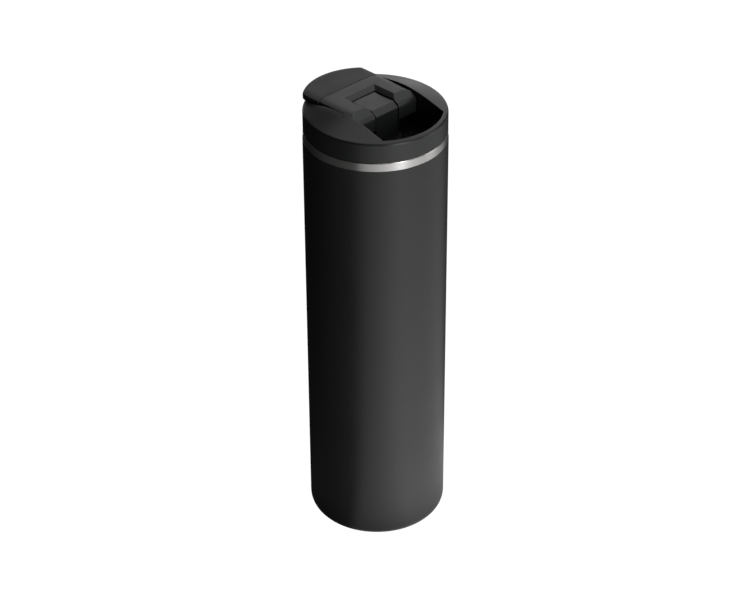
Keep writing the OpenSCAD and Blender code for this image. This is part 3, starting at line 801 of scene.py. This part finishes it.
def brushed(name, tone, rough, line_mm, depth_mm, anisotropy):
    """Stainless steel brushed round the mug's axis."""
    made, tree, shader = new_material(name)
    point = place_of(tree)
    parts = add(tree, "SeparateXYZ", {"Vector": point})
    x, y, z = (parts.outputs[i] for i in range(3))
    turn = add(tree, "Math", {0: y, 1: x}, operation="ARCTAN2").outputs[0]
    radius = add(tree, "VectorMath", {0: add(tree, "CombineXYZ", {"X": x, "Y": y}).outputs[0]},
                 operation="LENGTH").outputs["Value"]
    lines = add(tree, "CombineXYZ", {"X": maths(tree, "MULTIPLY", turn, 0.006),
                                     "Y": radius, "Z": z}).outputs[0]
    scratch = noise(tree, lines, line_mm, 4, 0.7)
    cloud = noise(tree, point, 9, 3)
    base = mixed(tree, scratch, grey(tone * 0.9, 0.015), grey(tone * 1.06, 0.015))
    tree.links.new(mixed(tree, maths(tree, "MULTIPLY", cloud, 0.15), base, grey(tone * 0.8, 0.02)),
                   shader.inputs["Base Color"])
    streaky = spread(tree, scratch, 0.25, 0.75, rough * 0.8, rough * 1.25)
    tree.links.new(streaky, shader.inputs["Roughness"])
    tree.links.new(bump(tree, scratch, depth_mm), shader.inputs["Normal"])
    shader.inputs["Metallic"].default_value = 1.0
    shader.inputs["Anisotropic"].default_value = anisotropy
    shader.inputs["Anisotropic Rotation"].default_value = 0.25
    tangent = add(tree, "Tangent", direction_type="RADIAL", axis="Z").outputs[0]
    tree.links.new(tangent, shader.inputs["Tangent"])
    return made


def metal(name, colour, rough, grain_mm, depth_mm):
    """Plain metal with a fine uneven surface."""
    made, tree, shader = new_material(name)
    point = place_of(tree)
    cloud = noise(tree, point, 4, 3)
    dark = tuple(c * 0.75 for c in colour) + (1,)
    tree.links.new(mixed(tree, cloud, dark, tuple(colour) + (1,)), shader.inputs["Base Color"])
    tree.links.new(spread(tree, cloud, 0.3, 0.7, rough * 0.8, rough * 1.2), shader.inputs["Roughness"])
    tree.links.new(bump(tree, noise(tree, point, grain_mm), depth_mm), shader.inputs["Normal"])
    shader.inputs["Metallic"].default_value = 1.0
    return made


def rubber(name, tone):
    """Translucent silicone with a faint haze."""
    made, tree, shader = new_material(name)
    point = place_of(tree)
    cloud = noise(tree, point, 5, 3)
    tree.links.new(mixed(tree, cloud, grey(tone * 0.9, -0.01), grey(tone * 1.1, -0.01)),
                   shader.inputs["Base Color"])
    tree.links.new(spread(tree, cloud, 0.3, 0.7, 0.38, 0.5), shader.inputs["Roughness"])
    tree.links.new(bump(tree, noise(tree, point, 0.5), 0.01), shader.inputs["Normal"])
    shader.inputs["Subsurface Weight"].default_value = 0.3
    shader.inputs["Subsurface Scale"].default_value = 0.001
    return made


FINISHES = {
    "coat": powder("coat_finish", 0.012, 0.36),
    "steel": brushed("steel_finish", 0.57, 0.3, 0.1, 0.003, 0.8),
    "liner_steel": brushed("liner_finish", 0.66, 0.2, 0.3, 0.002, 0.3),
    "lid_plastic": plastic("lid_finish", 0.014, 0.36, 0.3, 0.016),
    "button_plastic": plastic("button_finish", 0.021, 0.34, 0.24, 0.01),
    "cover_plastic": plastic("cover_finish", 0.024, 0.36, 0.28, 0.014),
    "tab_plastic": plastic("tab_finish", 0.014, 0.52, 0.28, 0.014),
    "silicone": rubber("silicone_finish", 0.42),
    "spring_steel": metal("spring_steel_finish", (0.56, 0.56, 0.57), 0.25, 0.4, 0.004),
    "foil": metal("foil_finish", (0.8, 0.45, 0.3), 0.2, 2.5, 0.05),
    "getter": metal("getter_finish", (0.25, 0.25, 0.26), 0.8, 0.3, 0.05),
    "sealant": metal("sealant_finish", (0.35, 0.29, 0.2), 0.6, 0.5, 0.03),
}


def dress(piece, slot_name):
    """Gives a piece one finish."""
    piece.data.materials.clear()
    piece.data.materials.append(FINISHES[slot_name])


for node_name, slot_name in SLOT_OF.items():
    dress(frame["nodes"][node_name], slot_name)
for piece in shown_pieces():
    if "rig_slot" in piece:
        dress(piece, piece["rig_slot"])


# ---------------------------------------------------------------- studio

EYE = Vector((-680.4, -691.5, 765.7))
AIM = Vector((-0.47, 0.46, 129.06))
CAMERA_ROLL = -0.276
CAMERA_LENS = 106.56
CAMERA_SENSOR = 36.0
FLOOR_SIZE = 20.0
FLOOR_GLOW = 1.25
FLOOR_GLOW_SHARE = 0.82
WORLD_FILL = 0.02


def make_camera():
    """Camera at the photograph's viewing angle."""
    data = bpy.data.cameras.new("camera")
    data.lens = CAMERA_LENS
    data.sensor_width = CAMERA_SENSOR
    made = bpy.data.objects.new("camera", data)
    bpy.context.scene.collection.objects.link(made)
    look = (AIM - EYE).to_track_quat("-Z", "Y").to_matrix().to_4x4()
    roll = Matrix.Rotation(math.radians(CAMERA_ROLL), 4, "Z")
    made.matrix_world = Matrix.Translation(EYE * MM) @ look @ roll
    bpy.context.scene.camera = made


def softbox(name, turn, distance, height, size, power, aim_z=0.14, sheen_only=False):
    """Area light at an angle to the right of the camera, in degrees and metres."""
    data = bpy.data.lights.new(name, "AREA")
    data.shape = "RECTANGLE"
    data.size, data.size_y = size
    data.energy = power
    made = bpy.data.objects.new(name, data)
    bpy.context.scene.collection.objects.link(made)
    angle = math.atan2(EYE.y, EYE.x) + math.radians(turn)
    made.location = (distance * math.cos(angle), distance * math.sin(angle), height)
    aim = Vector((0, 0, aim_z)) - Vector(made.location)
    made.rotation_euler = aim.to_track_quat("-Z", "Y").to_euler()
    made.visible_camera = False
    made.visible_diffuse = not sheen_only
    return made


# Light that the floor sends back to the mug: degrees to the right of the camera, share
POOL = [(-120, 0.01), (-60, 0.05), (-30, 0.08), (-20, 0.38), (0, 0.6), (36, 1.08), (62, 0.86),
        (85, 0.66), (122, 0.42), (138, 0.04)]
POOL_POWER = 1.16


def light_pool(tree):
    """Strength of the floor's painted glow round the mug: a pool of light bright on the key light's
    side, with a painted shadow close round the mug's foot.
    """
    parts = add(tree, "SeparateXYZ", {"Vector": place_of(tree)})
    turn = maths(tree, "ARCTAN2", parts.outputs[1], parts.outputs[0])
    from_camera = maths(tree, "SUBTRACT", turn, math.atan2(EYE.y, EYE.x) - math.pi)
    share = maths(tree, "FRACT", maths(tree, "DIVIDE", from_camera, 2 * math.pi))
    ramp = add(tree, "ValToRGB", {"Fac": share})
    stops = ramp.color_ramp.elements
    while len(stops) < len(POOL):
        stops.new(0.5)
    for stop, (degrees, level) in zip(stops, POOL):
        stop.position = degrees / 360 + 0.5
        stop.color = (level, level, level, 1)
    length = add(tree, "VectorMath", {0: place_of(tree)}, operation="LENGTH").outputs["Value"]
    near = spread(tree, length, 0.1, 0.4, 1.3, 0.85)
    # Painted shadow: the floor's glow falls to 0.4 close round the mug's foot.
    painted_contact_shadow = spread(tree, length, 0.036, 0.062, 0.4, 1.0)
    level = maths(tree, "MULTIPLY", ramp.outputs["Color"], maths(tree, "MULTIPLY", near, painted_contact_shadow))
    return maths(tree, "MULTIPLY", level, POOL_POWER)


def make_floor():
    """Plain pale floor: bright to the camera; to everything else it glows with a painted pool of light,
    bright on the key light's side.
    """
    half = FLOOR_SIZE / 2
    work = bmesh.new()
    work.faces.new([work.verts.new((x, y, 0)) for x, y in rectangle(-half, half, -half, half)])
    mesh = bpy.data.meshes.new("floor")
    work.to_mesh(mesh)
    work.free()
    made = bpy.data.objects.new("floor", mesh)
    bpy.context.scene.collection.objects.link(made)
    material, tree, shader = new_material("floor_finish")
    shader.inputs["Base Color"].default_value = (0.85, 0.85, 0.85, 1)
    shader.inputs["Roughness"].default_value = 0.8
    glow = add(tree, "Emission", {"Color": (1, 1, 1, 1), "Strength": FLOOR_GLOW})
    lit = add(tree, "MixShader", {0: FLOOR_GLOW_SHARE, 1: shader.outputs[0], 2: glow.outputs[0]})
    # Painted light: to reflections and bounce light the floor glows with the pool, though it is no lamp.
    pool = add(tree, "Emission", {"Color": (1, 1, 1, 1), "Strength": light_pool(tree)})
    seen = add(tree, "LightPath").outputs["Is Camera Ray"]
    both = add(tree, "MixShader", {0: seen, 1: pool.outputs[0], 2: lit.outputs[0]})
    tree.links.new(both.outputs[0], tree.nodes["Material Output"].inputs["Surface"])
    mesh.materials.append(material)


def make_world():
    """White to the camera, dim to everything else."""
    world = bpy.data.worlds.new("studio")
    world.use_nodes = True
    tree = world.node_tree
    back = tree.nodes["Background"]
    back.inputs["Color"].default_value = (1, 1, 1, 1)
    seen = add(tree, "LightPath").outputs["Is Camera Ray"]
    tree.links.new(spread(tree, seen, 0, 1, WORLD_FILL, 1.0), back.inputs["Strength"])
    bpy.context.scene.world = world


bpy.context.scene.view_settings.view_transform = "Standard"
make_camera()
make_floor()
make_world()
softbox("key", 38, 0.8, 0.42, (0.2, 0.6), 2.4)
softbox("side", 90, 0.8, 0.3, (0.3, 0.6), 0.8)
softbox("backdrop", 180, 1.4, 0.3, (2.2, 0.6), 3.3, sheen_only=True)
softbox("back_high", 172, 1.2, 0.95, (1.1, 0.6), 1.75, sheen_only=True)
softbox("overhead", 130, 0.35, 1.25, (1.6, 1.6), 7.4, aim_z=0.24, sheen_only=True)
